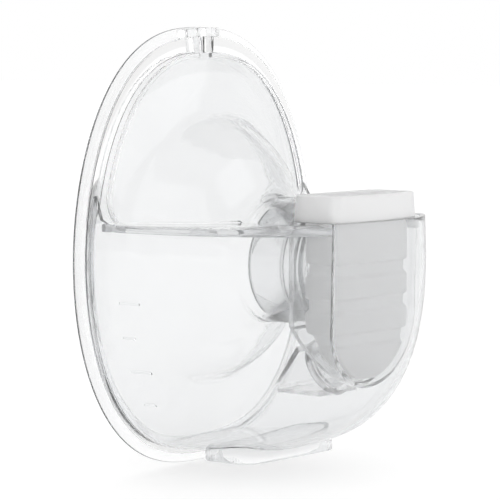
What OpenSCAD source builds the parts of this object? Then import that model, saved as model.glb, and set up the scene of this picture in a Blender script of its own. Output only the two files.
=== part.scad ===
// Wearable breast-pump cup: a clear milk container with a motor bay, the breast
// shield behind it, the silicone diaphragm in its pocket and the duckbill valve.
// The frame: X runs across, -Y is the front of the cup, +Z is up, millimetres.
// The shield lies in the plane y = back_y and everything else stands forward of it.

/* [Outline] */
// Width of the shield's lip, its widest part
lip_width = 110; // [104:1:118]
// Height of the shield's lip
lip_height = 130; // [126:1:134]
// Depth from the back of the lip to the front of the bowl
cup_depth = 70.2; // [69:0.1:72]
// How square the oval is: 1 is an ellipse, smaller is squarer
oval_power = 0.79; // [0.76:0.01:0.82]
// How much narrower the top of the oval is than its foot
oval_taper = 0.033; // [0.02:0.001:0.04]

/* [Shield] */
// Thickness of the lip
lip_thickness = 1.4; // [1.2:0.1:1.6]
// Thickness of the funnel wall
funnel_wall = 1.2; // [1:0.1:1.4]
// Inset of the funnel's mouth from the lip's edge
funnel_inset = 10.6; // [10:0.1:12]
// Height of the tunnel's centre line
tunnel_z = 61.5; // [61:0.1:62]
// Outside radius of the shield's tunnel
tunnel_outer_r = 17.5; // [17.4:0.1:17.6]
// Inside radius of the shield's tunnel
tunnel_inner_r = 16; // [16:0.05:16.05]

/* [Container] */
// Inset of the container's rim from the lip's edge
rim_inset = 2.8; // [2.6:0.1:3]
// Width of the rim bead
rim_width = 4.8; // [4.6:0.1:5]
// Inset of the bowl from the lip's edge
bowl_inset = 4.2; // [4:0.1:4.4]
// Wall thickness of the container
wall = 1.4; // [1.2:0.1:1.5]
// How square the bowl is in plan
bowl_square = 2.6; // [2.5:0.1:2.8]
// Height of the bowl's lowest outside point
bowl_floor_z = 6; // [5.8:0.1:6.2]
// Height of the shelf's top face
shelf_z = 73.8; // [73.6:0.1:74]
// Radius where the shelf's edge turns up into the rim
bay_corner_r = 8; // [6:0.5:9]

/* [Pocket and diaphragm] */
// Half width of the vacuum pocket outside
pocket_half_w = 20; // [19.8:0.1:20.2]
// Lowest outside point of the pocket
pocket_bottom_z = 27.4; // [27:0.1:28]
// Distance of the pocket's inside back face from the back of the lip
pocket_back_f = 52; // [51.8:0.1:52.2]
// Top of the pocket, where the diaphragm's collar rests
pocket_top_z = 75; // [74.8:0.1:75.4]
// Height below which the pocket's back slopes forward
slope_top_z = 45; // [44.8:0.1:45.2]
// Height of the diaphragm's collar
collar_height = 7.6; // [7:0.1:8.5]
// Half width of the diaphragm's bag
bag_half_w = 18; // [17.8:0.1:18.1]
// Wall thickness of the silicone bag
bag_wall = 1.1; // [0.9:0.1:1.2]
// Distance between two folds of the bag
fold_pitch = 9.8; // [9.4:0.2:10.2]

/* [Valve] */
// Outside radius of the valve's seat
seat_r = 6.4; // [6:0.1:6.6]
// Half length of the slit between the valve's lips
slit_half_w = 12; // [11:0.5:13]
// Height of the middle of the valve's seat
seat_z = 36; // [35.8:0.1:36.2]

/* [Hidden] */
$fn = 72;

back_y = cup_depth / 2;
mid_z = lip_height / 2;
gap = 0.05;                       // face-to-face clearance between two mouldings
oval_steps = 96;
rim_back_f = lip_thickness + 0.1;
rim_front_f = 2.9;
wall_start_f = rim_front_f + gap;

// The oval family.  d is the inset from the lip's edge, phi the angle round it.
function side_z(phi, power) = sign(sin(phi)) * sqrt(max(0, 1 - pow(abs(cos(phi)), 2 / power)));
function oval_section(half_w, half_h, centre_z, power, phi) =
    let (s = side_z(phi, power))
    [half_w * cos(phi) * (1 - oval_taper * s), centre_z + half_h * s];
function lip_point(d, phi) = oval_section(lip_width / 2 - d, mid_z - d, mid_z, oval_power, phi);
function oval(d) = [for (i = [0 : oval_steps - 1]) lip_point(d, 360 * i / oval_steps)];
function half_width(z, d) =
    let (s = (z - mid_z) / (mid_z - d))
    (lip_width / 2 - d) * pow(max(0, 1 - s * s), oval_power / 2) * (1 - oval_taper * s);

// The bowl.  t is the inset from its outside surface, f the distance forward.
bowl_mid_z = 65.3;
bowl_rise = 2.74;                 // how square the bowl is from floor to belly
bowl_round = 4.41;                // how soon the belly reaches its full depth
function bowl_depth(z, t) =
    (cup_depth - t)
    * pow(max(0, 1 - pow(abs((z - bowl_mid_z) / (bowl_mid_z - bowl_floor_z - t)), bowl_rise)),
        1 / bowl_round);
function bowl_f(x, z, t) =
    let (a = half_width(z, bowl_inset + t))
    abs(x) >= a ? 0 : bowl_depth(z, t) * pow(1 - pow(abs(x) / a, bowl_square), 1 / bowl_square);
function bowl_z(x, f, low, high, steps) =
    let (middle = (low + high) / 2)
    steps == 0 ? middle
    : bowl_f(x, middle, 0) > f ? bowl_z(x, f, low, middle, steps - 1)
    : bowl_z(x, f, middle, high, steps - 1);

// The top edge of the bowl: the shelf's height, turned up at the rim and round the pocket.
rise_start_f = 48;
rise_end_f = 56;
function smooth_step(a, b, v) =
    let (k = min(1, max(0, (v - a) / (b - a))))
    k * k * (3 - 2 * k);
function bowl_top(f) =
    let (reach = wall_start_f + bay_corner_r, d = max(0, reach - f))
    shelf_z + bay_corner_r - sqrt(bay_corner_r * bay_corner_r - min(d, bay_corner_r) * min(d, bay_corner_r))
    + (pocket_top_z - shelf_z) * smooth_step(rise_start_f, rise_end_f, f);

// The funnel: oval at its mouth and round at the tunnel.  Each station is [f, share of oval].
funnel_stations = [[0.7, 1], [2, 0.81], [3.6, 0.68], [5.6, 0.6], [9, 0.54], [12.6, 0.48], [16, 0.41],
    [19, 0.325], [22, 0.2], [24.6, 0.08], [27.2, 0.015], [31.2, 0]];
neck_r = tunnel_outer_r - 0.4;
function funnel_point(share, grow, phi) =
    let (half_w = neck_r + grow + share * (lip_width / 2 - funnel_inset - neck_r),
        half_h = neck_r + grow + share * (mid_z - funnel_inset - neck_r))
    oval_section(half_w, half_h, tunnel_z + share * (mid_z - tunnel_z), 1 + share * (oval_power - 1), phi);

// Solids from rings of points.
function at(x, f, z) = [x, back_y - f, z];
function quads(rows, n, close_rows, close_ring) =
    [for (i = [0 : rows - (close_rows ? 1 : 2)], j = [0 : n - (close_ring ? 1 : 2)])
        let (a = i * n + j, b = i * n + (j + 1) % n,
            c = ((i + 1) % rows) * n + (j + 1) % n, d = ((i + 1) % rows) * n + j)
        each [[a, b, c], [a, c, d]]];
function joined(rings) = [for (ring = rings) each ring];

// A closed surface through rings that start and end with a flat cap.
module capped_loft(rings) {
    n = len(rings[0]);
    rows = len(rings);
    first = [for (j = [n - 1 : -1 : 0]) j];
    last = [for (j = [0 : n - 1]) (rows - 1) * n + j];
    polyhedron(joined(rings), concat(quads(rows, n, false, true), [first, last]));
}

// A closed surface through rings that come back to the first one.
module looped_loft(rings) {
    polyhedron(joined(rings), quads(len(rings), len(rings[0]), true, true));
}

// A wall between two grids of the same size, closed along all four edges.
module grid_wall(outer, inner) {
    n = len(outer[0]);
    rings = [for (i = [0 : len(outer) - 1]) concat(outer[i], [for (j = [n - 1 : -1 : 0]) inner[i][j]])];
    edge_capped_loft(rings, n);
}

// Like capped_loft, with each cap laid as a strip between its two edges.
module edge_capped_loft(rings, half) {
    n = 2 * half;
    rows = len(rings);
    start = [for (j = [0 : half - 2]) each [[j, n - 1 - j, n - 2 - j], [j, n - 2 - j, j + 1]]];
    base = (rows - 1) * n;
    finish = [for (j = [0 : half - 2])
        each [[base + j, base + n - 2 - j, base + n - 1 - j], [base + j, base + j + 1, base + n - 2 - j]]];
    polyhedron(joined(rings), concat(quads(rows, n, false, true), start, finish));
}

// A flat shape drawn in x and z, made solid from f0 to f1 forward of the back plane.
module upright(f0, f1) {
    translate([0, back_y - f0, 0])
        rotate([90, 0, 0])
            linear_extrude(height = f1 - f0) children();
}

module oval_ring(d_outer, d_inner, f0, f1) {
    upright(f0, f1) difference() {
        polygon(oval(d_outer));
        polygon(oval(d_inner));
    }
}

// A tube along the tunnel's centre line.
module tunnel_tube(outer_r, inner_r, f0, f1) {
    translate([0, back_y - f0, tunnel_z]) rotate([90, 0, 0]) difference() {
        cylinder(r = outer_r, h = f1 - f0);
        translate([0, 0, -1]) cylinder(r = inner_r, h = f1 - f0 + 2);
    }
}

// Container ------------------------------------------------------------------

bowl_columns = 44;
bowl_rows = 15;
rise_rows = 3;
function bowl_grid_point(i, j, t) =
    let (u = 180 * j / bowl_columns,
        w = 90 * pow(i / bowl_rows, 1.6),
        reach = bowl_mid_z - bowl_floor_z - t,
        curve_z = bowl_mid_z - reach * pow(cos(w), 2 / bowl_rise),
        side = pow(abs(cos(u)), 2 / bowl_square) * sign(cos(u)),
        deep = pow(sin(u), 2 / bowl_square),
        f_here = wall_start_f + (bowl_depth(i > bowl_rows ? shelf_z : curve_z, t) - wall_start_f) * deep,
        z_here = i <= bowl_rows ? curve_z
            : bowl_mid_z + (bowl_top(f_here) - bowl_mid_z) * (i - bowl_rows) / rise_rows)
    at(half_width(z_here, bowl_inset + t) * side,
        i == 0 ? wall_start_f : f_here,
        z_here);

module container_bowl() {
    color([0.93, 0.94, 0.95, 0.5])
    grid_wall(
        [for (i = [0 : bowl_rows + rise_rows]) [for (j = [0 : bowl_columns]) bowl_grid_point(i, j, 0)]],
        [for (i = [0 : bowl_rows + rise_rows]) [for (j = [0 : bowl_columns]) bowl_grid_point(i, j, wall)]]);
}

notch_left = -4.6;
notch_right = 0.3;
seal_groove_inset = 1.1;
seal_width = 2.2;
seal_depth = 0.8;

module container_rim() {
    color([0.88, 0.90, 0.92, 0.6])
    difference() {
        oval_ring(rim_inset, rim_inset + rim_width, rim_back_f, rim_front_f);
        oval_ring(rim_inset + seal_groove_inset, rim_inset + seal_groove_inset + seal_width,
            rim_back_f - 1, rim_back_f + seal_depth);
        translate([notch_left, back_y - 6, mid_z]) cube([notch_right - notch_left, 8, mid_z]);
    }
}

module rim_seal() {
    color([0.80, 0.82, 0.84, 0.8])
    oval_ring(rim_inset + seal_groove_inset + gap, rim_inset + seal_groove_inset + seal_width - gap,
        lip_thickness + gap, rim_back_f + seal_depth - gap);
}

// The domed wall behind the motor bay, which clears the shield's funnel.
panel_columns = 40;
panel_clear = 1.1;
panel_wall = 1.1;
panel_edge_inset = rim_inset + rim_width + gap;
panel_back_f = 1.7;
panel_low_z = shelf_z + gap;
function panel_span(share, grow) =
    let (half_h = neck_r + grow + share * (mid_z - funnel_inset - neck_r),
        centre_z = tunnel_z + share * (mid_z - tunnel_z),
        power = 1 + share * (oval_power - 1),
        s = (panel_low_z - centre_z) / half_h)
    acos(pow(1 - s * s, power / 2));
function panel_row(share, grow, f) =
    let (low = panel_span(share, grow))
    [for (j = [0 : panel_columns])
        let (p = funnel_point(share, grow, low + (180 - 2 * low) * j / panel_columns))
        at(p[0], f, p[1])];
function edge_row(f) =
    let (s = (panel_low_z - mid_z) / (mid_z - panel_edge_inset), low = acos(pow(1 - s * s, oval_power / 2)))
    [for (j = [0 : panel_columns])
        let (p = lip_point(panel_edge_inset, low + (180 - 2 * low) * j / panel_columns))
        at(p[0], f, p[1])];
panel_last = 10;                  // the panel stops where the hood over the tunnel begins
function panel_f(i, lift) = max(panel_back_f, funnel_stations[i][0] + 1.0) + lift;

module bay_panel() {
    color([0.95, 0.96, 0.97, 0.4])
    grid_wall(
        concat([edge_row(panel_back_f)],
            [for (i = [1 : panel_last])
                panel_row(funnel_stations[i][1], panel_clear, panel_f(i, 0))]),
        concat([edge_row(panel_back_f + panel_wall)],
            [for (i = [1 : panel_last])
                panel_row(funnel_stations[i][1], panel_clear + panel_wall, panel_f(i, panel_wall))]));
}

// The D-shaped frame round the motor bay's mouth, open at the spout's notch.
frame_inset = panel_edge_inset;
frame_wall = 1.3;
frame_back_f = 4.5;
frame_front_f = 5.6;
frame_low_half_w = 43.5;          // the frame's bottom bar stops here, beside the panel
module rounded_bay(d, r) {
    offset(r = r) offset(delta = -r) intersection() {
        polygon(oval(d));
        translate([-lip_width, shelf_z - shelf_thickness + d - frame_inset])
            square([2 * lip_width, lip_height]);
    }
}

module bay_frame() {
    color([0.90, 0.91, 0.93, 0.6])
    upright(frame_back_f, frame_front_f)
        difference() {
            rounded_bay(frame_inset, bay_corner_r + frame_wall);
            rounded_bay(frame_inset + frame_wall, bay_corner_r);
            translate([notch_left, mid_z]) square([notch_right - notch_left, mid_z]);
            translate([-frame_low_half_w, mid_z]) square([2 * frame_low_half_w, shelf_z + 0.1 - mid_z]);
        }
}

// The floor of the motor bay.
shelf_thickness = 2.1;
shelf_overhang = 4;               // the shelf stays clear of the bowl's wall up to this height above it
shelf_steps = 40;
hood_inner_r = tunnel_outer_r + 0.4;
hood_wall = 1.2;
shelf_section_z = shelf_z - shelf_thickness;
hood_half_w = sqrt(pow(hood_inner_r + hood_wall, 2) - pow(shelf_section_z - tunnel_z, 2));
shelf_plan = [for (j = [0 : shelf_steps])
    let (u = 180 * j / shelf_steps, a = half_width(shelf_z + shelf_overhang, bowl_inset + wall + 0.1))
    [a * pow(abs(cos(u)), 2 / bowl_square) * sign(cos(u)),
        wall_start_f
            + (bowl_depth(shelf_section_z, wall + 0.1) - wall_start_f) * pow(sin(u), 2 / bowl_square)]];
first_foot = 3;                   // the first station of the panel that stands in front of the frame
function panel_foot(i, mirrored) =
    let (share = funnel_stations[i][1], grow = panel_clear + panel_wall + gap,
        p = funnel_point(share, grow, panel_span(share, grow)))
    [mirrored * p[0], panel_f(i, panel_wall) + gap];
behind_panel = concat(
    [[lip_width, -1], [lip_width, frame_front_f + gap], [frame_low_half_w, frame_front_f + gap]],
    [for (i = [first_foot : panel_last]) panel_foot(i, 1)],
    [for (i = [panel_last : -1 : first_foot]) panel_foot(i, -1)],
    [[-frame_low_half_w, frame_front_f + gap], [-lip_width, frame_front_f + gap], [-lip_width, -1]]);

module bay_shelf() {
    color([0.86, 0.88, 0.90, 0.7])
    translate([0, back_y, shelf_z - shelf_thickness])
        mirror([0, 1, 0])
            linear_extrude(height = shelf_thickness)
                difference() {
                    polygon(shelf_plan);
                    polygon(behind_panel);
                    translate([-hood_half_w - gap, 20]) square([2 * (hood_half_w + gap), 40]);
                    translate([-pocket_half_w - gap, pocket_back_f - pocket_wall - gap])
                        square([2 * (pocket_half_w + gap), 30]);
                }
}

// The half-round cover of the tunnel where it stands above the shelf.
hood_start_f = funnel_stations[panel_last][0] + 1.0 + panel_wall + gap;

module tunnel_hood() {
    color([0.92, 0.93, 0.94, 0.5])
    intersection() {
        tunnel_tube(hood_inner_r + hood_wall, hood_inner_r, hood_start_f, pocket_back_f - pocket_wall - gap);
        translate([-50, -50, shelf_z - shelf_thickness]) cube([100, 100, 50]);
    }
}

// The socket that the shield's tunnel slides over.
pocket_wall = 1.2;
socket_outer_r = tunnel_inner_r - 0.1;
socket_inner_r = 13.8;
socket_start_f = 33;
groove_r = 14.6;
groove_width = 1.9;
groove_mid_f = 45;

module tunnel_socket() {
    color([0.90, 0.92, 0.93, 0.5])
    difference() {
        tunnel_tube(socket_outer_r, socket_inner_r, socket_start_f, pocket_back_f - pocket_wall);
        tunnel_tube(socket_outer_r + 1, groove_r, groove_mid_f - groove_width / 2,
            groove_mid_f + groove_width / 2);
    }
}

module socket_o_ring() {
    color([0.75, 0.77, 0.80])
    translate([0, back_y - groove_mid_f, tunnel_z])
        rotate([90, 0, 0])
            rotate_extrude()
                translate([socket_outer_r - 0.6, 0]) circle(r = 0.63, $fn = 24);
}

// The vacuum pocket: a round-bottomed U, closed behind and open on top.
u_steps = 20;
function u_outline(half_w, bottom_z, top_z) = concat(
    [[half_w, top_z]],
    [for (i = [0 : u_steps]) let (a = -180 * i / u_steps)
        [half_w * cos(a), bottom_z + half_w + half_w * sin(a)]],
    [[-half_w, top_z]]);

// How far forward the pocket's back stands, from its inside face or its outside one.
slope = 0.6;
function back_f(z, behind) =
    pocket_back_f - behind + slope * max(0, slope_top_z + 0.3 * behind - z);

socket_mouth_r = 12.5;

module pocket_back_plate() {
    low = pocket_bottom_z - 1;
    color([0.92, 0.93, 0.94, 0.5])
    difference() {
        intersection() {
            upright(40, 70)
                polygon(u_outline(pocket_half_w - pocket_wall - gap, pocket_bottom_z + pocket_wall + gap,
                    pocket_top_z));
            translate([-40, back_y, 0]) rotate([90, 0, 90]) linear_extrude(height = 80)
                polygon([[-pocket_back_f, pocket_top_z], [-pocket_back_f, slope_top_z],
                    [-back_f(low, 0), low], [-back_f(low, pocket_wall), low],
                    [pocket_wall - pocket_back_f - gap, slope_top_z + 0.3 * pocket_wall],
                    [pocket_wall - pocket_back_f - gap, pocket_top_z]]);
        }
        translate([0, back_y, tunnel_z]) rotate([90, 0, 0]) cylinder(r = socket_mouth_r, h = 80);
        valve_frame() cylinder(r = seat_bore_r, h = 80, center = true);
    }
}

module pocket_channel() {
    inside = u_outline(pocket_half_w - pocket_wall, pocket_bottom_z + pocket_wall, pocket_top_z);
    outside = u_outline(pocket_half_w, pocket_bottom_z, pocket_top_z);
    reach = wall + 0.15;
    color([0.90, 0.92, 0.93, 0.5])
    grid_wall(
        [[for (p = outside) at(p[0], back_f(p[1], pocket_wall), p[1])],
            [for (p = outside) at(p[0], bowl_f(p[0], p[1], reach), p[1])]],
        [[for (p = inside) at(p[0], back_f(p[1], pocket_wall), p[1])],
            [for (p = inside) at(p[0], bowl_f(p[0], p[1], reach), p[1])]]);
}

// The spout: two posts on the rim with a notch between them.
spout_left = -11.5;
spout_right = 4.6;

module pour_spout() {
    color([0.90, 0.91, 0.93, 0.6])
    spout_part(rim_back_f, 0.1, rim_inset - gap, spout_left, spout_right);
    spout_part(wall_start_f, rim_inset - 2 * gap, frame_inset - gap, notch_left - frame_wall,
        notch_right + frame_wall);
}

module spout_part(start_f, d_outer, d_inner, left, right) {
    upright(start_f, frame_front_f)
        difference() {
            intersection() {
                polygon(oval(d_outer));
                translate([left, mid_z]) square([right - left, mid_z]);
            }
            polygon(oval(d_inner));
            translate([notch_left, 0]) square([notch_right - notch_left, lip_height + 1]);
        }
}

// The foot: a short skirt whose top follows the bowl's underside.
foot_bottom_z = 4.4;
foot_half_w = 22;
foot_back_f = 18;
foot_front_f = 38;
foot_wall = 1.4;
foot_corner = 7;
foot_clear = 0.25;                // between the skirt's top and the bowl's underside
foot_search_z = 30;
search_steps = 20;
side_steps = 5;
function divided(points, n) = [for (i = [0 : len(points) - 1])
    let (a = points[i], b = points[(i + 1) % len(points)])
    for (t = [0 : n - 1]) a + (b - a) * t / n];
function foot_outline(inset) = [for (k = [0 : 3], i = [0 : 5])
    let (a = 90 * k + 18 * i, r = foot_corner - inset,
        cx = (foot_half_w - foot_corner) * (k == 0 || k == 3 ? 1 : -1),
        cf = (foot_front_f + foot_back_f) / 2
            + ((foot_front_f - foot_back_f) / 2 - foot_corner) * (k < 2 ? 1 : -1))
    [cx + r * cos(a), cf + r * sin(a)]];
function foot_ring(inset, raised) = [for (p = divided(foot_outline(inset), side_steps))
    at(p[0], p[1], raised ? bowl_z(p[0], p[1], bowl_floor_z - 0.1, foot_search_z, search_steps) - foot_clear
        : foot_bottom_z)];

module base_foot() {
    color([0.93, 0.94, 0.95, 0.5])
    looped_loft([foot_ring(0, false), foot_ring(0, true), foot_ring(foot_wall, true),
        foot_ring(foot_wall, false)]);
}

// Raised ticks on the bowl's left side that show how full it is.
mark_levels = [22, 32, 42, 52];
mark_f = 14;
mark_long = 7;
mark_short = 4;

module volume_marks() {
    color([0.75, 0.77, 0.80])
    for (i = [0 : len(mark_levels) - 1]) {
        length = i % 2 == 0 ? mark_short : mark_long;
        steps = 4;
        capped_loft([for (k = [0 : steps])
            let (f = mark_f + length * k / steps)
            [for (c = [[0, -0.35], [0.35, -0.35], [0.35, 0.35], [0, 0.35]])
                at(-mark_x(f, mark_levels[i] + c[1]) - gap - c[0], f, mark_levels[i] + c[1])]]);
    }
}
function mark_x(f, z) =
    half_width(z, bowl_inset)
        * pow(1 - pow((f - wall_start_f) / (bowl_depth(z, 0) - wall_start_f), bowl_square),
            1 / bowl_square);

// Shield ---------------------------------------------------------------------

tunnel_end_f = pocket_back_f - pocket_wall - 0.5;

module breast_shield() {
    steps = 64;
    last = len(funnel_stations) - 1;
    color([0.95, 0.96, 0.97, 0.4])
    union() {
        oval_ring(0, funnel_inset, 0, lip_thickness);
        looped_loft(concat(
            [for (i = [0 : last]) funnel_ring(i, -0.5, -funnel_wall / 2, steps)],
            [for (i = [last : -1 : 0]) funnel_ring(i, 0, funnel_wall / 2, steps)]));
        tunnel_tube(tunnel_outer_r, tunnel_inner_r, funnel_stations[last][0] - 0.6, tunnel_end_f);
    }
}
function funnel_ring(i, grow, lift, steps) =
    let (station = funnel_stations[i], flat = i == 0 ? 0.5 : i == len(funnel_stations) - 1 ? 0 : 1)
    [for (j = [0 : steps - 1])
        let (p = funnel_point(station[1], grow + (i == 0 ? 0.8 : 0), 360 * j / steps))
        at(p[0], station[0] + lift * flat, p[1])];

// Diaphragm ------------------------------------------------------------------

collar_corner = 3.2;
collar_wall = 1.8;
collar_set_back = 0.8;            // how far the collar's front stands behind the bowl's front
function collar_front(x, inset) = bowl_f(x, shelf_z, collar_set_back) - inset;
function collar_plan(inset) =
    let (half_w = pocket_half_w - inset, r = collar_corner - inset / 2, f0 = pocket_back_f - 1 + inset,
        corner_f = collar_front(half_w - r, inset) - r)
    concat(
        [for (i = [0 : 5]) [half_w - r + r * cos(18 * i), corner_f + r * sin(18 * i)]],
        [for (i = [1 : 9]) let (x = (half_w - r) * (1 - i / 5)) [x, collar_front(x, inset)]],
        [for (i = [5 : 10]) [r - half_w + r * cos(18 * i), corner_f + r * sin(18 * i)]],
        [for (i = [10 : 15]) [r - half_w + r * cos(18 * i), f0 + r + r * sin(18 * i)]],
        [for (i = [15 : 20]) [half_w - r + r * cos(18 * i), f0 + r + r * sin(18 * i)]]);

module diaphragm_collar() {
    color([0.90, 0.90, 0.91])
    translate([0, back_y, pocket_top_z + gap])
        mirror([0, 1, 0])
            linear_extrude(height = collar_height)
                difference() {
                    polygon(collar_plan(0));
                    polygon(collar_plan(collar_wall));
                }
}

// The bag: sections from its mouth down, creased at every fold.
bag_front_f = 66.3;
bag_bottom_z = 30;
first_fold_z = 63.1;
fold_depth = 0.7;
bag_top_z = pocket_top_z - 0.02;
bag_steps = 36;
bag_levels = concat([bag_top_z, 71, 67],
    [for (k = [0 : 2], d = [1.5, 0.6, 0, -0.6, -1.5, -4.8]) first_fold_z - fold_pitch * k + d],
    [36.5, 34.5, 32.5, 31, bag_bottom_z]);
function fold(z) =
    let (k = (first_fold_z - z) / fold_pitch, d = (k - round(k)) * fold_pitch)
    z > first_fold_z + 1.5 || z < 39 ? 0 : fold_depth * max(0, 1 - abs(d) / 0.9);
function bag_ring(z, inset) =
    let (r = bag_half_w,
        drop = max(0, (bag_bottom_z + r - z) / (r + 0.4)),
        half_w = r * sqrt(1 - drop * drop) - inset - fold(z),
        slim = 3.2 * drop * drop,
        f0 = back_f(z, -1) + inset + fold(z),
        f1 = bag_front_f - slim - inset - fold(z))
    [for (j = [0 : bag_steps - 1])
        let (a = 360 * j / bag_steps)
        at(half_w * pow(abs(cos(a)), 0.5) * sign(cos(a)),
            (f0 + f1) / 2 + (f1 - f0) / 2 * pow(abs(sin(a)), 0.5) * sign(sin(a)),
            z)];

module diaphragm_bag() {
    deep = len(bag_levels) - 1;
    color([0.88, 0.88, 0.89])
    capped_loft(concat(
        [for (i = [deep : -1 : 0]) bag_ring(bag_levels[i], 0)],
        [for (i = [0 : deep - 3]) bag_ring(bag_levels[i], bag_wall)]));
}

// Valve ----------------------------------------------------------------------

// The valve's own frame: its centre line stands square to the pocket's sloping back,
// and +Z points up the line from the seat's foot into the pocket.
valve_lean = 90 - atan(slope);
valve_length = 19;                // from the slit to the pocket's sloping back
module valve_frame() {
    translate([0, back_y - back_f(seat_z, pocket_wall), seat_z])
        rotate([valve_lean, 0, 0])
            translate([0, 0, -valve_length])
                children();
}
seat_bore_r = seat_r - 1.6;
collar_start = 10.5;              // height of the valve's collar above the slit
collar_tall = 6;
collar_rim = 2.2;
seat_start = 12;

module valve_seat() {
    color([0.90, 0.92, 0.93, 0.5])
    valve_frame() translate([0, 0, seat_start]) difference() {
        cylinder(r = seat_r, h = valve_length - seat_start - gap);
        translate([0, 0, -1]) cylinder(r = seat_bore_r, h = valve_length);
    }
}

module valve_collar() {
    color([0.93, 0.93, 0.94])
    valve_frame() translate([0, 0, collar_start]) difference() {
        cylinder(r = seat_r + collar_rim, h = collar_tall);
        translate([0, 0, seat_start - collar_start - 0.5]) cylinder(r = seat_r + gap, h = collar_tall);
        translate([0, 0, -1]) cylinder(r = seat_bore_r - 0.3, h = collar_tall);
    }
}

// One lip: a sloping blade from the collar's underside to the slit.
blade_thick = 1.1;
blade_top = collar_start - 0.1;
module blade(side) {
    spread = seat_r + 1.6;
    valve_frame() intersection() {
        rotate([90, 0, 90])
            translate([0, 0, -slit_half_w])
                linear_extrude(height = 2 * slit_half_w)
                    polygon([[side * 0.12, 0], [side * (0.12 + blade_thick), 0],
                        [side * spread, blade_top], [side * (spread - blade_thick * 1.6), blade_top]]);
        translate([0, 20, 0])
            rotate([90, 0, 0])
                linear_extrude(height = 40)
                    polygon([[slit_half_w, -1], [seat_r + 2, blade_top + 1],
                        [-seat_r - 2, blade_top + 1], [-slit_half_w, -1]]);
    }
}
module valve_lip_front() {
    color([0.93, 0.93, 0.94]) blade(-1);
}
module valve_lip_back() {
    color([0.93, 0.93, 0.94]) blade(1);
}

container_bowl();
container_rim();
rim_seal();
bay_panel();
bay_frame();
bay_shelf();
tunnel_hood();
tunnel_socket();
socket_o_ring();
pocket_back_plate();
pocket_channel();
valve_seat();
pour_spout();
base_foot();
volume_marks();
breast_shield();
diaphragm_collar();
diaphragm_bag();
valve_collar();
valve_lip_front();
valve_lip_back();
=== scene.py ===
import math

import bmesh
import bpy
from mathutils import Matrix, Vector


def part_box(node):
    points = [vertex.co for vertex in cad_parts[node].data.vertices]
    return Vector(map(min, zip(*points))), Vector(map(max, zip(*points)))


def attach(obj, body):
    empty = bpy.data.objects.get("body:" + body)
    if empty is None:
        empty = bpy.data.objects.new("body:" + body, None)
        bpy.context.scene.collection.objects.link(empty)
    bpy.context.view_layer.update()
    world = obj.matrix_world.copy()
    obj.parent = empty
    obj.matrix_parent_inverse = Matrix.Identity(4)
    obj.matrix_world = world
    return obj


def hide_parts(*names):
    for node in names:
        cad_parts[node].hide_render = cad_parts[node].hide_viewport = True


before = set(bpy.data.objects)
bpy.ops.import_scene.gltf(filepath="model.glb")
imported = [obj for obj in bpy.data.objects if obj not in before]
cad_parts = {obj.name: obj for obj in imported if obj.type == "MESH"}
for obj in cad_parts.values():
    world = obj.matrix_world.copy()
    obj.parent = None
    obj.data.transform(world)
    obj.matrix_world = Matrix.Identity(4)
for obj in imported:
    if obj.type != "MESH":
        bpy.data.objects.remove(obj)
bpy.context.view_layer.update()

MM = 0.001

# ---------------------------------------------------------------------------
# Driving sizes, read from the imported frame.  Lengths below are millimetres;
# f is the distance forward of the shield's back plane.
# ---------------------------------------------------------------------------


def box_mm(node):
    low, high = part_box(node)
    return low / MM, high / MM


shield_low, shield_high = box_mm("breast_shield")
LIP_W = shield_high.x - shield_low.x
LIP_H = shield_high.z - shield_low.z
BACK_Y = shield_high.y
MID_Z = LIP_H / 2
TUNNEL_END_F = BACK_Y - shield_low.y

bowl_low, bowl_high = box_mm("container_bowl")
DEPTH = BACK_Y - bowl_low.y
WALL_START_F = BACK_Y - bowl_high.y
FLOOR_Z = bowl_low.z

rim_low, rim_high = box_mm("container_rim")
RIM_BACK_F = BACK_Y - rim_high.y
RIM_FRONT_F = BACK_Y - rim_low.y

shelf_low, shelf_high = box_mm("bay_shelf")
SHELF_Z = shelf_high.z
SHELF_THICK = shelf_high.z - shelf_low.z

channel_low, channel_high = box_mm("pocket_channel")
POCKET_W = channel_high.x
POCKET_BOTTOM = channel_low.z
POCKET_TOP = channel_high.z
POCKET_BACK_F = BACK_Y - channel_high.y

hood_low, hood_high = box_mm("tunnel_hood")
TUNNEL_Z = (box_mm("tunnel_socket")[0].z + box_mm("tunnel_socket")[1].z) / 2
SOCKET_R = (box_mm("tunnel_socket")[1].z - box_mm("tunnel_socket")[0].z) / 2
SOCKET_INNER_R = 13.8
SOCKET_START_F = BACK_Y - box_mm("tunnel_socket")[1].y

collar_low, collar_high = box_mm("diaphragm_collar")
bag_low, bag_high = box_mm("diaphragm_bag")
foot_low, foot_high = box_mm("base_foot")

OVAL_POWER = 0.79
OVAL_TAPER = 0.033
RIM_INSET = 2.8
BOWL_INSET = 4.2
FUNNEL_INSET = 10.6
FUNNEL_WALL = 1.2
LIP_THICK = 1.4
LIP_EDGE = 0.6
TUNNEL_R = 17.5
TUNNEL_INNER_R = 16.0
NECK_R = TUNNEL_R - 0.4
WALL = 1.4
RIM_WIDTH = 4.8
BOWL_SQUARE = 2.6
BOWL_MID_Z = 65.3
BOWL_RISE = 2.74
BOWL_ROUND = 4.41
BAY_CORNER_R = 8.0
POCKET_WALL = 1.2
SLOPE = 0.6
SLOPE_TOP_Z = 45.0
RISE_START_F, RISE_END_F = 48, 56
PART_GAP = 0.05

# ---------------------------------------------------------------------------
# Shape functions
# ---------------------------------------------------------------------------


def signed_power(value, power):
    return math.copysign(abs(value) ** power, value)


def section(half_w, half_h, centre_z, power, phi):
    """A point of an oval section; phi is in radians and power 1 is an ellipse."""
    s = math.copysign(math.sqrt(max(0.0, 1 - abs(math.cos(phi)) ** (2 / power))), math.sin(phi))
    return half_w * math.cos(phi) * (1 - OVAL_TAPER * s), centre_z + half_h * s


def lip_point(d, phi):
    return section(LIP_W / 2 - d, MID_Z - d, MID_Z, OVAL_POWER, phi)


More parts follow.
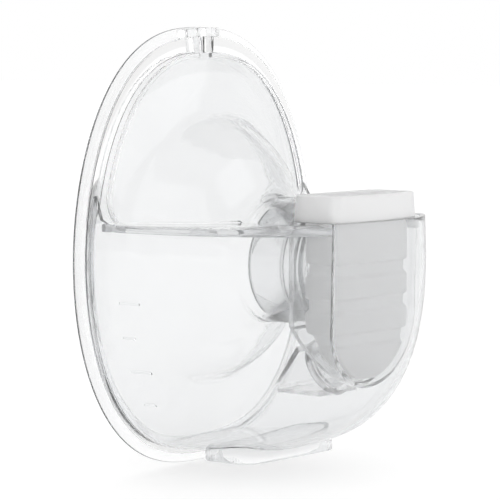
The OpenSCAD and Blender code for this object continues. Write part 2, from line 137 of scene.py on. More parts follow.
def funnel_point(share, grow, phi):
    half_w = NECK_R + grow + share * (LIP_W / 2 - FUNNEL_INSET - NECK_R)
    half_h = NECK_R + grow + share * (MID_Z - FUNNEL_INSET - NECK_R)
    power = 1 + share * (OVAL_POWER - 1)
    return section(half_w, half_h, TUNNEL_Z + share * (MID_Z - TUNNEL_Z), power, phi)


def half_width(z, d):
    s = (z - MID_Z) / (MID_Z - d)
    return (LIP_W / 2 - d) * max(0.0, 1 - s * s) ** (OVAL_POWER / 2) * (1 - OVAL_TAPER * s)


def bowl_depth(z, t):
    reach = BOWL_MID_Z - FLOOR_Z - t
    return (DEPTH - t) * max(0.0, 1 - abs((z - BOWL_MID_Z) / reach) ** BOWL_RISE) ** (1 / BOWL_ROUND)


def bowl_f(x, z, t):
    a = half_width(z, BOWL_INSET + t)
    if abs(x) >= a:
        return 0.0
    return bowl_depth(z, t) * (1 - (abs(x) / a) ** BOWL_SQUARE) ** (1 / BOWL_SQUARE)


def smooth_step(a, b, v):
    k = min(1.0, max(0.0, (v - a) / (b - a)))
    return k * k * (3 - 2 * k)


def bowl_top(f):
    """Height of the bowl's top edge: the shelf, turned up at the rim and round the pocket."""
    d = min(BAY_CORNER_R, max(0.0, WALL_START_F + BAY_CORNER_R - f))
    corner = BAY_CORNER_R - math.sqrt(BAY_CORNER_R**2 - d * d)
    return SHELF_Z + corner + (POCKET_TOP - SHELF_Z) * smooth_step(RISE_START_F, RISE_END_F, f)


def pocket_back(z, behind):
    return POCKET_BACK_F + POCKET_WALL - behind + SLOPE * max(0.0, SLOPE_TOP_Z + 0.3 * behind - z)


STATIONS = [(0.7, 1.0), (2, 0.81), (3.6, 0.68), (5.6, 0.6), (9, 0.54), (12.6, 0.48), (16, 0.41),
            (19, 0.325), (22, 0.2), (24.6, 0.08), (27.2, 0.015), (31.2, 0.0)]


def spline(points, steps):
    """A smooth curve through the points, with steps points for each stretch."""
    padded = [points[0]] + list(points) + [points[-1]]
    out = []
    for a, b, c, d in zip(padded, padded[1:], padded[2:], padded[3:]):
        for k in range(steps):
            t = k / steps
            out.append(tuple(
                0.5 * (2 * q + (r - p) * t + (2 * p - 5 * q + 4 * r - s) * t**2
                       + (3 * q - p - 3 * r + s) * t**3)
                for p, q, r, s in zip(a, b, c, d)))
    out.append(points[-1])
    return out


# ---------------------------------------------------------------------------
# Mesh building
# ---------------------------------------------------------------------------


def place(point):
    x, f, z = point
    return x * MM, (BACK_Y - f) * MM, z * MM


def make_object(name, points, faces, sharp=35):
    mesh = bpy.data.meshes.new(name)
    mesh.from_pydata([place(p) for p in points], [], faces)
    mesh.validate()
    work = bmesh.new()
    work.from_mesh(mesh)
    bmesh.ops.remove_doubles(work, verts=work.verts, dist=1e-7)
    bmesh.ops.recalc_face_normals(work, faces=work.faces)
    work.to_mesh(mesh)
    work.free()
    mesh.polygons.foreach_set("use_smooth", [True] * len(mesh.polygons))
    mesh.set_sharp_from_angle(angle=math.radians(sharp))
    obj = bpy.data.objects.new(name, mesh)
    bpy.context.scene.collection.objects.link(obj)
    return obj


def ring_faces(rows, n, loop):
    faces = []
    for i in range(rows if loop else rows - 1):
        a, b = i * n, ((i + 1) % rows) * n
        for j in range(n):
            k = (j + 1) % n
            faces.append((a + j, a + k, b + k, b + j))
    return faces


def loft(name, rings, loop=False, sharp=35):
    """A closed surface through rings of points: back to the first ring, or with a cap at each end."""
    n = len(rings[0])
    faces = ring_faces(len(rings), n, loop)
    if not loop:
        faces.append(tuple(range(n)))
        faces.append(tuple((len(rings) - 1) * n + j for j in range(n)))
    return make_object(name, [p for ring in rings for p in ring], faces, sharp)


def wall_between(name, outer, inner, sharp=35):
    """A wall between two grids of the same size, closed along all four edges."""
    n = len(outer[0])
    rings = [list(a) + list(reversed(b)) for a, b in zip(outer, inner)]
    width = 2 * n
    faces = ring_faces(len(rings), width, False)
    for base in (0, (len(rings) - 1) * width):
        for j in range(n - 1):
            faces.append((base + j, base + j + 1, base + width - 2 - j, base + width - 1 - j))
    return make_object(name, [p for ring in rings for p in ring], faces, sharp)


def bake_modifiers(obj):
    bpy.context.view_layer.update()
    shown = obj.evaluated_get(bpy.context.evaluated_depsgraph_get())
    mesh = bpy.data.meshes.new_from_object(shown)
    obj.modifiers.clear()
    obj.data = mesh


def soften(obj, width_mm, segments=3, angle=50):
    """Rounds every edge sharper than angle."""
    bevel = obj.modifiers.new("round", "BEVEL")
    bevel.width = width_mm * MM
    bevel.segments = segments
    bevel.limit_method = "ANGLE"
    bevel.angle_limit = math.radians(angle)
    bevel.use_clamp_overlap = True
    bake_modifiers(obj)
    obj.data.polygons.foreach_set("use_smooth", [True] * len(obj.data.polygons))
    obj.data.set_sharp_from_angle(angle=math.radians(60))


def rounded_box_profile(d0, d1, f0, f1, r, steps=5):
    """A closed profile in inset d and forward distance f, with round corners."""
    centres = [(d1 - r, f1 - r, 0), (d0 + r, f1 - r, 90), (d0 + r, f0 + r, 180), (d1 - r, f0 + r, 270)]
    return [(cd + r * math.cos(math.radians(start + 90 * i / steps)),
             cf + r * math.sin(math.radians(start + 90 * i / steps)))
            for cd, cf, start in centres for i in range(steps + 1)]


def sweep_oval(name, profile, phis, loop):
    """Sweeps a profile of (inset, f) along the oval."""
    rings = []
    for phi in phis:
        ring = []
        for d, f in profile:
            x, z = lip_point(d, phi)
            ring.append((x, f, z))
        rings.append(ring)
    return loft(name, rings, loop)


def tube(name, outer_r, inner_r, f0, f1, round_r):
    """A tube along the tunnel's centre line."""
    steps = 128
    middle, half = (outer_r + inner_r) / 2, (outer_r - inner_r) / 2
    profile = rounded_box_profile(-half, half, f0, f1, round_r)
    rings = []
    for k in range(steps):
        a = math.radians(360.0 * k / steps)
        rings.append([((middle + d) * math.cos(a), f, TUNNEL_Z + (middle + d) * math.sin(a))
                      for d, f in profile])
    return loft(name, rings, loop=True)


# ---------------------------------------------------------------------------
# Materials
# ---------------------------------------------------------------------------


class Nodes:
    """Adds nodes to a material and links them."""

    def __init__(self, name):
        self.material = bpy.data.materials.new(name)
        self.material.use_nodes = True
        self.tree = self.material.node_tree
        self.tree.nodes.clear()
        self.out = self.tree.nodes.new("ShaderNodeOutputMaterial")
        self.shader = self.tree.nodes.new("ShaderNodeBsdfPrincipled")
        self.link(self.shader.outputs["BSDF"], self.out.inputs["Surface"])
        self.coords = self.tree.nodes.new("ShaderNodeTexCoord").outputs["Object"]

    def link(self, a, b):
        self.tree.links.new(a, b)

    def noise(self, scale, detail=3.0, stretch=(1, 1, 1)):
        mapping = self.tree.nodes.new("ShaderNodeMapping")
        mapping.inputs["Scale"].default_value = stretch
        self.link(self.coords, mapping.inputs["Vector"])
        node = self.tree.nodes.new("ShaderNodeTexNoise")
        node.inputs["Scale"].default_value = scale
        node.inputs["Detail"].default_value = detail
        self.link(mapping.outputs["Vector"], node.inputs["Vector"])
        return node.outputs["Fac"]

    def ramp(self, value, low, high):
        node = self.tree.nodes.new("ShaderNodeValToRGB")
        node.color_ramp.elements[0].position, node.color_ramp.elements[1].position = 0.3, 0.7
        node.color_ramp.elements[0].color = (*low, 1)
        node.color_ramp.elements[1].color = (*high, 1)
        self.link(value, node.inputs["Fac"])
        return node.outputs["Color"]

    def spread(self, value, low, high):
        node = self.tree.nodes.new("ShaderNodeMapRange")
        node.inputs["To Min"].default_value = low
        node.inputs["To Max"].default_value = high
        self.link(value, node.inputs["Value"])
        return node.outputs["Result"]

    def bump(self, height, strength, distance):
        node = self.tree.nodes.new("ShaderNodeBump")
        node.inputs["Strength"].default_value = strength
        node.inputs["Distance"].default_value = distance
        self.link(height, node.inputs["Height"])
        self.link(node.outputs["Normal"], self.shader.inputs["Normal"])

    def absorb(self, color, density):
        node = self.tree.nodes.new("ShaderNodeVolumeAbsorption")
        node.inputs["Color"].default_value = (*color, 1)
        node.inputs["Density"].default_value = density
        self.link(node.outputs["Volume"], self.out.inputs["Volume"])


def clear_plastic(name, tint, density, roughness, haze):
    m = Nodes(name)
    m.shader.inputs["Transmission Weight"].default_value = 1.0 - haze
    m.shader.inputs["IOR"].default_value = 1.49
    m.link(m.ramp(m.noise(60), [c - 0.012 for c in tint], tint), m.shader.inputs["Base Color"])
    m.link(m.spread(m.noise(240, 5), roughness * 0.5, roughness * 1.5), m.shader.inputs["Roughness"])
    m.bump(m.noise(55, 1.0, (1, 1, 0.5)), 0.02, 0.0004)
    m.absorb((0.80, 0.81, 0.82), density)
    return m.material


SILICONE_IOR = 1.41


def silicone(name, tint, transmission, roughness, scatter, ior, glow=0.0):
    """A translucent silicone; glow is a slight even emission, painted light that makes up for light lost in
    the pocket.
    """
    m = Nodes(name)
    m.shader.inputs["Transmission Weight"].default_value = transmission
    m.shader.inputs["IOR"].default_value = ior
    m.shader.inputs["Subsurface Weight"].default_value = scatter
    m.shader.inputs["Subsurface Radius"].default_value = (1.0, 1.0, 1.0)
    m.shader.inputs["Subsurface Scale"].default_value = 0.004
    m.link(m.ramp(m.noise(35, 4), [c - 0.02 for c in tint], tint), m.shader.inputs["Base Color"])
    m.link(m.spread(m.noise(420, 5), roughness * 0.85, roughness * 1.15), m.shader.inputs["Roughness"])
    m.bump(m.noise(2600, 4), 0.08, 0.00008)
    m.shader.inputs["Emission Color"].default_value = (1, 1, 1, 1)
    m.shader.inputs["Emission Strength"].default_value = glow
    return m.material


CLEAR = clear_plastic("clear_container_plastic", (0.985, 0.988, 0.99), 160, 0.03, 0.04)
CLEAR_SOLID = clear_plastic("clear_solid_plastic", (0.985, 0.988, 0.99), 14, 0.03, 0.04)
SHIELD = clear_plastic("clear_shield_plastic", (0.988, 0.99, 0.992), 30, 0.025, 0.04)
FROSTED = silicone("frosted_silicone", (0.985, 0.985, 0.987), 0.4, 0.3, 0.3, SILICONE_IOR)
# The bag's silicone glows evenly (emission 0.08): painted light standing in for light lost inside the
# pocket.
FROSTED_BAG_WITH_PAINTED_GLOW = silicone("frosted_bag_silicone_painted_glow", (0.945, 0.945, 0.947), 0.4, 0.3, 0.3, SILICONE_IOR, 0.08)
SOFT_CLEAR = silicone("translucent_silicone", (0.985, 0.985, 0.987), 0.96, 0.08, 0.0, 1.2)


def finish_piece(obj, material, body, slot, *nodes):
    obj.data.materials.clear()
    obj.data.materials.append(material)
    for polygon in obj.data.polygons:
        polygon.material_index = 0
    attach(obj, body)
    if nodes:
        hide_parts(*nodes)
    return obj


# ---------------------------------------------------------------------------
# Breast shield: lip, funnel and tunnel in one skin
# ---------------------------------------------------------------------------

AROUND = 224


def build_shield():
    curve = spline(STATIONS, 5)
    reach = MID_Z - FUNNEL_INSET - NECK_R
    line = [(NECK_R + share * reach, f, share) for f, share in curve]
    front, back = [], []
    for i, (r, f, share) in enumerate(line):
        before, after = line[max(0, i - 1)], line[min(len(line) - 1, i + 1)]
        dr, df = after[0] - before[0], after[1] - before[1]
        size = math.hypot(dr, df) or 1.0
        nr, nf = df / size, -dr / size
        half = FUNNEL_WALL / 2
        front.append((share, nr * half, f + nf * half))
        back.append((share, -nr * half, f - nf * half))
    lip_r = LIP_EDGE / 2
    edge = [(lip_r - lip_r * math.cos(math.radians(a)), LIP_THICK / 2 + lip_r * math.sin(math.radians(a)))
            for a in range(-90, 91, 15)]
    rings = []

    def lip_ring(d, f):
        ring = []
        for k in range(AROUND):
            x, z = lip_point(d, 2 * math.pi * k / AROUND)
            ring.append((x, f, z))
        rings.append(ring)

    def funnel_ring(share, grow, f):
        ring = []
        for k in range(AROUND):
            x, z = funnel_point(share, grow, 2 * math.pi * k / AROUND)
            ring.append((x, f, z))
        rings.append(ring)

    for d, f in edge:
        lip_ring(d, f)
    for d in (3.5, 7.0, 9.6):
        lip_ring(d, LIP_THICK)
    for share, grow, f in front[2:-1]:
        funnel_ring(share, grow, max(f, LIP_THICK))
    round_r = 0.45
    funnel_ring(0, TUNNEL_R - NECK_R, STATIONS[-1][0])
    for a in range(0, 91, 30):
        c, s = math.cos(math.radians(a)), math.sin(math.radians(a))
        funnel_ring(0, TUNNEL_R - NECK_R - round_r * (1 - c), TUNNEL_END_F - round_r * (1 - s))
    for a in range(90, -1, -30):
        c, s = math.cos(math.radians(a)), math.sin(math.radians(a))
        funnel_ring(0, TUNNEL_INNER_R - NECK_R + round_r * (1 - c), TUNNEL_END_F - round_r * (1 - s))
    funnel_ring(0, TUNNEL_INNER_R - NECK_R, STATIONS[-1][0] + 0.8)
    for share, grow, f in reversed(back[3:-1]):
        funnel_ring(share, grow, max(f, 0.35))
    funnel_ring(1.0, 0.6, 0.0)
    lip_ring(7.0, 0.0)
    lip_ring(3.5, 0.0)
    shield = loft("shield_moulding", rings, loop=True)
    return finish_piece(shield, SHIELD, "shield", "shield_plastic", "breast_shield")


# ---------------------------------------------------------------------------
# Container
# ---------------------------------------------------------------------------

BOWL_COLUMNS = 144
BOWL_ROWS = 56
RISE_ROWS = 6


def bowl_grid(t):
    grid = []
    reach = BOWL_MID_Z - FLOOR_Z - t
    for i in range(BOWL_ROWS + RISE_ROWS + 1):
        row = []
        w = math.radians(90 * min(1.0, i / BOWL_ROWS) ** 1.7)
        curve_z = BOWL_MID_Z - reach * max(0.0, math.cos(w)) ** (2 / BOWL_RISE)
        for j in range(BOWL_COLUMNS + 1):
            u = math.pi * j / BOWL_COLUMNS
            side = signed_power(math.cos(u), 2 / BOWL_SQUARE)
            deep = abs(math.sin(u)) ** (2 / BOWL_SQUARE)
            z = curve_z if i <= BOWL_ROWS else SHELF_Z
            f = WALL_START_F + (bowl_depth(z, t) - WALL_START_F) * deep
            if i > BOWL_ROWS:
                z = BOWL_MID_Z + (bowl_top(f) - BOWL_MID_Z) * (i - BOWL_ROWS) / RISE_ROWS
            if i == 0:
                f = WALL_START_F
            row.append((half_width(z, BOWL_INSET + t) * side, f, z))
        grid.append(row)
    return grid


def build_bowl():
    bowl = wall_between("bowl_shell", bowl_grid(0), bowl_grid(WALL))
    soften(bowl, 0.35, 3)
    return finish_piece(bowl, CLEAR, "container", "clear_plastic", "container_bowl")


NOTCH_LEFT, NOTCH_RIGHT = -4.6, 0.3


def notch_phis(steps, left=NOTCH_LEFT, right=NOTCH_RIGHT):
    half_w = LIP_W / 2 - RIM_INSET
    start = math.acos(left / half_w)
    stop = 2 * math.pi + math.acos(right / half_w)
    return [start + (stop - start) * k / steps for k in range(steps + 1)]


def build_rim():
    profile = rounded_box_profile(RIM_INSET, RIM_INSET + RIM_WIDTH, RIM_BACK_F + 0.9, RIM_FRONT_F, 0.45)
    rim = sweep_oval("rim_bead", profile, notch_phis(260), loop=False)
    soften(rim, 0.3)
    return finish_piece(rim, CLEAR_SOLID, "container", "clear_plastic", "container_rim")


def build_seal():
    profile = rounded_box_profile(RIM_INSET + 1.15, RIM_INSET + 3.25,
                                  LIP_THICK + PART_GAP, RIM_BACK_F + 0.85, 0.3)
    phis = [2 * math.pi * k / 260 for k in range(260)]
    seal = sweep_oval("rim_seal_ring", profile, phis, loop=True)
    return finish_piece(seal, SOFT_CLEAR, "container", "clear_silicone", "rim_seal")


PANEL_CLEAR, PANEL_WALL, PANEL_BACK_F = 1.1, 1.1, 1.7
PANEL_COLUMNS = 120
HOOD_R, HOOD_WALL = 19.1, 1.2


def build_panel():
    edge_inset = RIM_INSET + RIM_WIDTH + PART_GAP
    low_z = SHELF_Z + PART_GAP
    curve = [(f, share) for f, share in spline(STATIONS[1:11], 4)]

    def span(half_h, centre_z, power, z):
        s = (z - centre_z) / half_h
        return math.acos((1 - s * s) ** (power / 2))

    def row(share, grow, f, z=low_z):
        half_h = NECK_R + grow + share * (MID_Z - FUNNEL_INSET - NECK_R)
        low = span(half_h, TUNNEL_Z + share * (MID_Z - TUNNEL_Z), 1 + share * (OVAL_POWER - 1), z)
        points = []
        for j in range(PANEL_COLUMNS + 1):
            x, z_here = funnel_point(share, grow, low + (math.pi - 2 * low) * j / PANEL_COLUMNS)
            points.append((x, f, z_here))
        return points

    def edge(f):
        low = span(MID_Z - edge_inset, MID_Z, OVAL_POWER, low_z)
        points = []
        for j in range(PANEL_COLUMNS + 1):
            x, z = lip_point(edge_inset, low + (math.pi - 2 * low) * j / PANEL_COLUMNS)
            points.append((x, f, z))
        return points

    neck_f = [BACK_Y - hood_high.y + 3 + 18.4 * k / 10 for k in range(11)]
    under = SHELF_Z - SHELF_THICK + 0.1
    outer = [edge(PANEL_BACK_F + PANEL_WALL)] + [
        row(share, PANEL_CLEAR + PANEL_WALL, max(PANEL_BACK_F, f + 1) + PANEL_WALL)
        for f, share in curve] + [
        row(0, HOOD_R - NECK_R, f, under) for f in neck_f]
    inner = [edge(PANEL_BACK_F)] + [
        row(share, PANEL_CLEAR, max(PANEL_BACK_F, f + 1)) for f, share in curve] + [
        row(0, HOOD_R - HOOD_WALL - NECK_R, f, under) for f in neck_f]
    panel = wall_between("bay_back_wall_and_hood", outer, inner, 50)
    return finish_piece(panel, CLEAR, "container", "clear_plastic", "bay_panel", "tunnel_hood")


def polish(node, name, material, body, slot, width_mm):
    """A CAD node whose shape is right: a copy, with its edges rounded where a width is given, stands for
    it.
    """
    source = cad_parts[node]
    copy = bpy.data.objects.new(name, source.data.copy())
    bpy.context.scene.collection.objects.link(copy)
    work = bmesh.new()
    work.from_mesh(copy.data)
    bmesh.ops.remove_doubles(work, verts=work.verts, dist=2e-6)
    bmesh.ops.dissolve_limit(work, angle_limit=math.radians(1), verts=work.verts, edges=work.edges)
    work.to_mesh(copy.data)
    work.free()
    if width_mm:
        soften(copy, width_mm, 3, 40)
    else:
        copy.data.polygons.foreach_set("use_smooth", [True] * len(copy.data.polygons))
        copy.data.set_sharp_from_angle(angle=math.radians(35))
    return finish_piece(copy, material, body, slot, node)


def u_outline(half_w, bottom_z, top_z, steps=64):
    points = [(half_w, top_z)]
    for i in range(steps + 1):
        a = -math.pi * i / steps
        points.append((half_w * math.cos(a), bottom_z + half_w + half_w * math.sin(a)))
    points.append((-half_w, top_z))
    return points


def build_pocket():
    outside = u_outline(POCKET_W, POCKET_BOTTOM, POCKET_TOP)
    inside = u_outline(POCKET_W - POCKET_WALL, POCKET_BOTTOM + POCKET_WALL, POCKET_TOP)
    rows = 14

    def grid(outline):
        return [[(x, pocket_back(z, POCKET_WALL)
                  + (bowl_f(x, z, WALL + 0.12) - pocket_back(z, POCKET_WALL)) * k / rows, z)
                 for x, z in outline] for k in range(rows + 1)]

    pocket = wall_between("pocket_walls", grid(outside), grid(inside))
    soften(pocket, 0.25, 2)
    return finish_piece(pocket, CLEAR_SOLID, "container", "clear_plastic", "pocket_channel")


def build_tunnel_parts():
    socket = tube("tunnel_socket_ring", SOCKET_R, SOCKET_INNER_R, SOCKET_START_F, POCKET_BACK_F, 0.4)
    finish_piece(socket, CLEAR, "container", "clear_plastic", "tunnel_socket")


FRAME_INSET, FRAME_WALL, FRAME_BACK_F, FRAME_FRONT_F = 7.65, 1.3, 4.5, 5.6
SPOUT_LEFT, SPOUT_RIGHT = -11.5, 4.6


def frame_outline(d, steps=40):
    """The D shape round the motor bay at inset d, from the notch's left side round to its right side."""
    r = BAY_CORNER_R + FRAME_WALL - (d - FRAME_INSET)
    low_z = SHELF_Z - SHELF_THICK + (d - FRAME_INSET)
    corner_z = low_z + r
    corner_x = half_width(corner_z, d) - r
    half = []
    for k in range(2 * steps + 1):
        z = corner_z + (MID_Z * 2 - d - corner_z) * math.sin(math.pi / 2 * k / (2 * steps))
        half.append((half_width(z, d), z))
    angles = [math.radians(-90 + 7.5 * i) for i in range(12)]
    corner = [(corner_x + r * math.cos(a), corner_z + r * math.sin(a)) for a in angles]
    right = corner + half
    left = [(-x, z) for x, z in reversed(right)]
    return left, right


def build_frame():
    pieces = []
    for side, notch in (("left", NOTCH_LEFT), ("right", NOTCH_RIGHT)):
        rings = []
        profile = rounded_box_profile(FRAME_INSET, FRAME_INSET + FRAME_WALL,
                                      FRAME_BACK_F, FRAME_FRONT_F, 0.4)
        lines = {d: frame_outline(d) for d, _ in profile}
        count = len(lines[profile[0][0]][0])
        chosen = []
        for k in range(count):
            ring = []
            for d, f in profile:
                left, right = lines[d]
                x, z = left[count - 1 - k] if side == "left" else right[k]
                ring.append((x, f, z))
            if (side == "left" and ring[0][0] > notch) or (side == "right" and ring[0][0] < notch):
                break
            chosen.append(ring)
        end = []
        for d, f in profile:
            z = LIP_H - d - 0.02 * abs(notch)
            end.append((notch, f, z))
        chosen = [ring for ring in chosen if abs(ring[0][0] - notch) > 0.4] + [end]
        piece = loft("bay_frame_" + side, chosen)
        soften(piece, 0.2, 2, 60)
        pieces.append(finish_piece(piece, CLEAR_SOLID, "container", "clear_plastic", "bay_frame"))
    return pieces


def spout_block(name, left, right, d0, d1, f0):
    half_w = LIP_W / 2
    profile = rounded_box_profile(d0, d1, f0, FRAME_FRONT_F, 0.45)
    steps = 16
    start, stop = math.acos(left / half_w), math.acos(right / half_w)
    phis = [start + (stop - start) * k / steps for k in range(steps + 1)]
    block = sweep_oval(name, profile, phis, loop=False)
    soften(block, 0.4)
    return block


def build_spout():
    for side, x0, x1 in (("left", SPOUT_LEFT, NOTCH_LEFT), ("right", NOTCH_RIGHT, SPOUT_RIGHT)):
        post = spout_block("spout_post_" + side, x0, x1, 0.15, RIM_INSET - PART_GAP, RIM_BACK_F)
        finish_piece(post, CLEAR_SOLID, "container", "clear_plastic", "pour_spout")
    for side, x0, x1 in (("left", NOTCH_LEFT - FRAME_WALL, NOTCH_LEFT),
                         ("right", NOTCH_RIGHT, NOTCH_RIGHT + FRAME_WALL)):
        web = spout_block("spout_wall_" + side, x0, x1, RIM_INSET - 0.1, FRAME_INSET - PART_GAP,
                          WALL_START_F)
        finish_piece(web, CLEAR_SOLID, "container", "clear_plastic", "pour_spout")


def build_foot():
    half_w, back_f, front_f, corner, wall, bottom = 22.0, 18.0, 38.0, 7.0, 1.4, foot_low.z

    def under_bowl(x, f):
        low, high = FLOOR_Z - 0.1, 30.0
        for _ in range(24):
            middle = (low + high) / 2
            if bowl_f(x, middle, 0) > f:
                high = middle
            else:
                low = middle
        return (low + high) / 2 - 0.05

    def outline(inset):
        points = []
        r = corner - inset
        for k in range(4):
            cx = (half_w - corner) * (1 if k in (0, 3) else -1)
            cf = (front_f + back_f) / 2 + ((front_f - back_f) / 2 - corner) * (1 if k < 2 else -1)
            for i in range(13):
                a = math.radians(90 * k + 7.5 * i)
                points.append((cx + r * math.cos(a), cf + r * math.sin(a)))
        return points

    def ring(inset, height):
        corners = outline(inset)
        points = [(a[0] + (b[0] - a[0]) * t / 4, a[1] + (b[1] - a[1]) * t / 4)
                  for a, b in zip(corners, corners[1:] + corners[:1]) for t in range(4)]
        return [(x, f, under_bowl(x, f) if height is None else height) for x, f in points]

    rings = [ring(0, bottom), ring(0, None), ring(wall, None), ring(wall, bottom)]
    foot = loft("foot_skirt", rings, loop=True)
    soften(foot, 0.3, 3)
    return finish_piece(foot, CLEAR, "container", "clear_plastic", "base_foot")


# ---------------------------------------------------------------------------
# Diaphragm
# ---------------------------------------------------------------------------

FOLD_Z, FOLD_PITCH, FOLD_BAND, FOLD_DEPTH = 63.1, 9.8, 4.3, 0.9


def fold(z):
    """How far the bag's wall stands in at height z: a sharp ledge on top and a soft return below."""
    if z > FOLD_Z + 0.5 or z < 37:
        return 0.0
    u = (FOLD_Z - z) % FOLD_PITCH
    if u > FOLD_PITCH - 0.3:
        u -= FOLD_PITCH
    if u > FOLD_BAND:
        return 0.0
    return FOLD_DEPTH * smooth_step(-0.3, 0.4, u) * (1 - smooth_step(FOLD_BAND - 1.6, FOLD_BAND, u))


BAG_STEPS = 112


def bag_ring(z, inset):
    half = bag_high.x
    bottom = bag_low.z
    drop = max(0.0, (bottom + half - z) / (half + 0.4))
    slim = 3.2 * drop**2
    half_w = half * math.sqrt(max(0.0, 1 - drop * drop)) - inset - fold(z)
    f0 = pocket_back(z, -1) + inset + fold(z)
    f1 = BACK_Y - bag_low.y - slim - inset - fold(z)
    ring = []
    for j in range(BAG_STEPS):
        a = 2 * math.pi * j / BAG_STEPS
        ring.append((half_w * signed_power(math.cos(a), 0.42),
                     (f0 + f1) / 2 + (f1 - f0) / 2 * signed_power(math.sin(a), 0.42), z))
    return ring


def build_bag():
    top, bottom = bag_high.z, bag_low.z
    outer_z = [bottom + (top - bottom) * (k / 150) for k in range(151)]
    inner_z = [34.5 + (top - 34.5) * k / 60 for k in range(61)]
    rings = [bag_ring(z, 0) for z in outer_z] + [bag_ring(z, 1.1) for z in reversed(inner_z)]
    bag = loft("diaphragm_bag_skin", rings, sharp=70)
    return finish_piece(bag, FROSTED_BAG_WITH_PAINTED_GLOW, "bag", "frosted_silicone", "diaphragm_bag")


def collar_outline(inset, taper):
    half_w, r, f0 = POCKET_W - inset - taper, 3.2 - inset / 2, BACK_Y - collar_high.y + inset + taper * 0.5

    def front(x):
        return bowl_f(x, SHELF_Z, 0.8) - inset - taper * 0.6

    corner_f = front(half_w - r) - r
    points = [(half_w - r + r * math.cos(math.radians(9 * i)), corner_f + r * math.sin(math.radians(9 * i)))
              for i in range(11)]
    points += [((half_w - r) * (1 - i / 12), front((half_w - r) * (1 - i / 12))) for i in range(1, 24)]
    points += [(r - half_w + r * math.cos(math.radians(9 * i)),
                corner_f + r * math.sin(math.radians(9 * i))) for i in range(10, 21)]
    points += [(r - half_w + r * math.cos(math.radians(9 * i)), f0 + r + r * math.sin(math.radians(9 * i)))
               for i in range(20, 31)]
    points += [(half_w - r + r * math.cos(math.radians(9 * i)), f0 + r + r * math.sin(math.radians(9 * i)))
               for i in range(30, 41)]
    return points


def build_collar():
    z0, z1 = collar_low.z, collar_high.z
    wall, edge_r, taper_all = 1.8, 0.5, 0.7
    profile = rounded_box_profile(0, wall, z0, z1, edge_r, 4)
    rings = []
    for d, z in profile:
        taper = taper_all * (z - z0) / (z1 - z0)
        rings.append([(x, f, z) for x, f in collar_outline(d, taper)])
    collar = loft("diaphragm_collar_band", rings, loop=True, sharp=60)
    return finish_piece(collar, FROSTED, "diaphragm", "frosted_silicone", "diaphragm_collar")


# ---------------------------------------------------------------------------
# Build everything
# ---------------------------------------------------------------------------

build_shield()
build_bowl()
build_rim()
build_seal()
build_panel()
build_pocket()
build_tunnel_parts()
build_frame()
build_spout()
build_foot()
build_bag()
build_collar()
polish("bay_shelf", "bay_shelf_plate", CLEAR_SOLID, "container", "clear_plastic", 0.3)
polish("pocket_back_plate", "pocket_back_wall", CLEAR_SOLID, "container", "clear_plastic", 0)
polish("valve_seat", "valve_seat_tube", CLEAR, "container", "clear_plastic", 0)
polish("volume_marks", "volume_ticks", CLEAR_SOLID, "container", "clear_plastic", 0)
polish("socket_o_ring", "socket_seal_ring", SOFT_CLEAR, "container", "clear_silicone", 0)
polish("valve_collar", "valve_collar_ring", SOFT_CLEAR, "valve", "clear_silicone", 0)
polish("valve_lip_front", "valve_lip_front_blade", SOFT_CLEAR, "lip_front", "clear_silicone", 0)
polish("valve_lip_back", "valve_lip_back_blade", SOFT_CLEAR, "lip_back", "clear_silicone", 0)

# ---------------------------------------------------------------------------
# Stage: floor, light and camera
# ---------------------------------------------------------------------------

AZIMUTH, ELEVATION = math.radians(-51.0), math.radians(4.5)
CAMERA_DISTANCE = 0.8
TARGET = Vector((25.5 * MM, BACK_Y * MM, 61.8 * MM))
LENS, SENSOR = 187.2, 36.0
towards_camera = Vector((math.sin(AZIMUTH) * math.cos(ELEVATION), -math.cos(AZIMUTH) * math.cos(ELEVATION),
                         math.sin(ELEVATION)))


def build_floor():
    bpy.ops.mesh.primitive_plane_add(size=12, location=(0, 0, -0.0004))
    floor = bpy.context.active_object
    floor.name = "floor"
    m = Nodes("floor_paper")
    m.link(m.ramp(m.noise(4, 2), (0.34, 0.34, 0.34), (0.35, 0.35, 0.35)), m.shader.inputs["Base Color"])
    m.shader.inputs["Roughness"].default_value = 0.9
    m.shader.inputs["Emission Color"].default_value = (1, 1, 1, 1)
    m.shader.inputs["Emission Strength"].default_value = 0.72
    floor.data.materials.append(m.material)


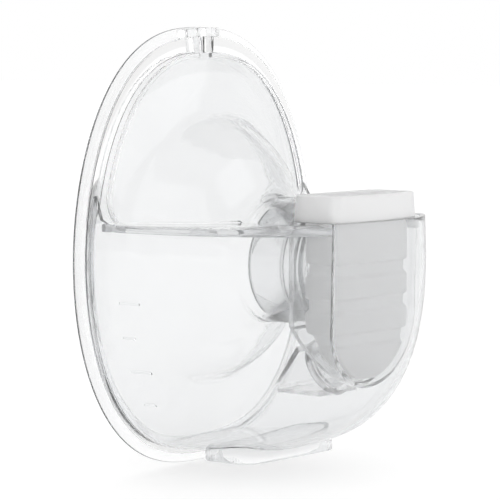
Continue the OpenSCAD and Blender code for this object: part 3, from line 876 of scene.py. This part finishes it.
def build_world():
    """A pale studio: white behind the object and a little greyer on the camera's side."""
    world = bpy.data.worlds.new("studio")
    bpy.context.scene.world = world
    world.use_nodes = True
    tree = world.node_tree
    background = tree.nodes["Background"]
    coords = tree.nodes.new("ShaderNodeTexCoord")
    dot = tree.nodes.new("ShaderNodeVectorMath")
    dot.operation = "DOT_PRODUCT"
    dot.inputs[1].default_value = (-towards_camera.x, -towards_camera.y, 0)
    tree.links.new(coords.outputs["Generated"], dot.inputs[0])
    spread = tree.nodes.new("ShaderNodeMapRange")
    spread.interpolation_type = "SMOOTHSTEP"
    spread.inputs["From Min"].default_value = -0.4
    spread.inputs["From Max"].default_value = 0.7
    spread.inputs["To Min"].default_value = 0.78
    spread.inputs["To Max"].default_value = 1.0
    tree.links.new(dot.outputs["Value"], spread.inputs["Value"])
    tree.links.new(spread.outputs["Result"], background.inputs["Strength"])
    background.inputs["Color"].default_value = (1, 1, 1, 1)


def add_softbox(name, place_at, aim, size, energy):
    light = bpy.data.lights.new(name, "AREA")
    light.shape = "RECTANGLE"
    light.size, light.size_y = size
    light.energy = energy
    holder = bpy.data.objects.new(name, light)
    holder.location = place_at
    holder.visible_glossy = False
    holder.rotation_euler = (Vector(aim) - Vector(place_at)).to_track_quat("-Z", "Y").to_euler()
    bpy.context.scene.collection.objects.link(holder)


def build_camera():
    data = bpy.data.cameras.new("camera")
    data.lens, data.sensor_width = LENS, SENSOR
    data.clip_start, data.clip_end = 0.01, 50
    camera = bpy.data.objects.new("camera", data)
    camera.location = TARGET + towards_camera * CAMERA_DISTANCE
    camera.rotation_euler = (-towards_camera).to_track_quat("-Z", "Y").to_euler()
    bpy.context.scene.collection.objects.link(camera)
    bpy.context.scene.camera = camera


build_floor()
build_world()
add_softbox("front_softbox", (-1.15, -1.0, 0.55), (0, 0, 0.06), (2.0, 2.0), 6)
add_softbox("side_softbox", (0.8, -1.3, 0.6), (0, 0, 0.06), (1.2, 1.6), 3)
build_camera()

scene = bpy.context.scene
scene.view_settings.view_transform = "Standard"
scene.cycles.max_bounces = 64
scene.cycles.transmission_bounces = 64
scene.cycles.glossy_bounces = 32
scene.cycles.diffuse_bounces = 32
scene.cycles.transparent_max_bounces = 32
